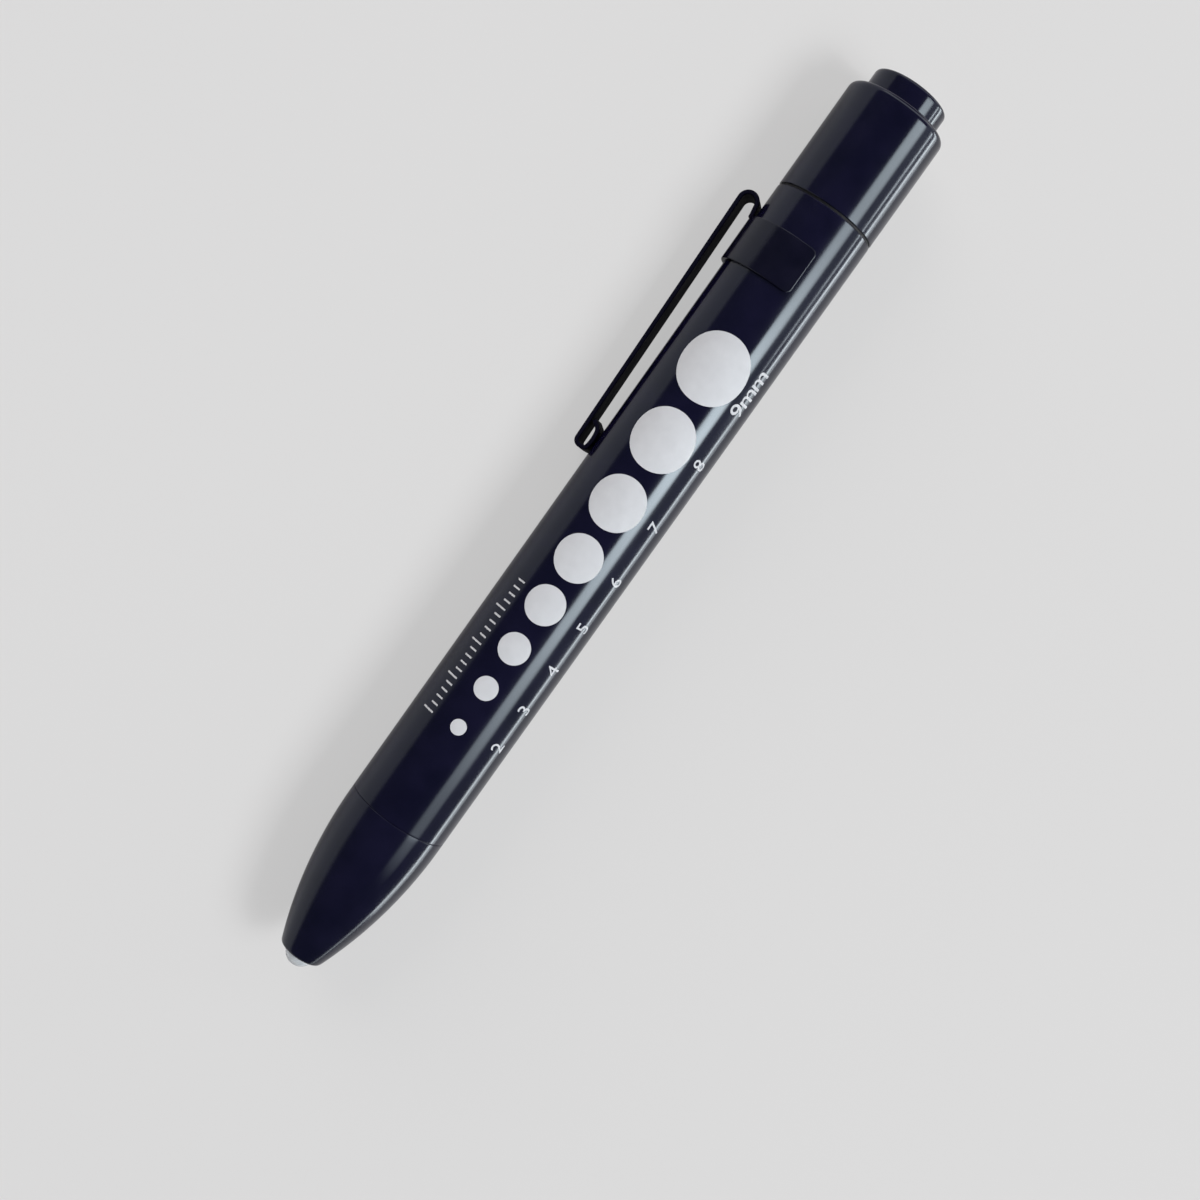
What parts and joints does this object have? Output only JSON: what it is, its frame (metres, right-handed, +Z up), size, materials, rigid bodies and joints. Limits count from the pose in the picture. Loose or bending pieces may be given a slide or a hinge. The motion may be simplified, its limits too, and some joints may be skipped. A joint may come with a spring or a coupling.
{
  "type": "penlight",
  "caption": "Slim pocket penlight: bullet nose with a domed lamp, straight barrel with printed gauge dots, bent spring clip, screw-off tail cap and click push button.",
  "frame": {"origin": "middle of the penlight's box on the table it lies on", "axes": "+X along the pen towards the lamp, +Z up, clip on the -Y side"},
  "size_m": [0.1298, 0.0158, 0.0143],
  "materials": {
    "body_black": "glossy black anodised",
    "clip_black": "satin black",
    "lamp_lens": "clear cast epoxy",
    "bright_steel": "nickel plated",
    "spring_steel": "drawn wire",
    "brass": "bright",
    "nylon": "moulded",
    "board_green": "solder mask",
    "jacket_blue": "shrunk film",
    "seal_rubber": "matt"
  },
  "bodies": {
    "body": {"nose_cone": "body_black", "led_lens": "lamp_lens", "led_leads": "bright_steel", "led_holder": "nylon", "led_board": "board_green", "front_contact": "brass", "barrel": "body_black", "tail_seal": "seal_rubber", "front_cell_can": "bright_steel", "front_cell_jacket": "jacket_blue", "front_cell_terminal": "bright_steel", "rear_cell_can": "bright_steel", "rear_cell_jacket": "jacket_blue", "rear_cell_terminal": "bright_steel", "clip_band": "clip_black"},
    "clip_arm": {"clip_arm": "clip_black"},
    "tail_spring": {"battery_spring": "spring_steel"},
    "tail_cap": {"tail_cap": "body_black", "switch_housing": "nylon", "spring_plate": "brass", "retaining_ring": "brass", "button_spring": "spring_steel", "latch_spring": "spring_steel"},
    "push_button": {"push_button": "body_black", "switch_plunger": "nylon", "latch_rotor": "nylon", "contact_disc": "brass"}
  },
  "joints": [
    {"name": "clip_flex", "type": "hinge", "parent": "body", "child": "clip_arm", "pos_m": [-0.04339, -0.00557, 0.00245], "axis": [0, 0.5733, -0.8193], "range_deg": [0, 4], "stiffness_Nm_per_rad": 2.6},
    {"name": "tail_cap_travel", "type": "slide", "parent": "body", "child": "tail_spring", "axis": [-1, 0, 0], "range_m": [0, 0.0045], "deforming": ["battery_spring"]},
    {"name": "tail_cap_turn", "type": "hinge", "parent": "tail_spring", "child": "tail_cap", "pos_m": [-0.04735, 0.00122, 0.0072], "axis": [-1, 0, 0], "range_deg": [0, 2160]},
    {"name": "button_press", "type": "slide", "parent": "tail_cap", "child": "push_button", "axis": [1, 0, 0], "range_m": [0, 0.0018], "stiffness_N_per_m": 1500, "deforming": ["button_spring", "latch_spring"]}
  ],
  "couplings": [
    {"joint": "tail_cap_turn", "follows": "tail_cap_travel", "rad_per_m": 8377.6}
  ]
}
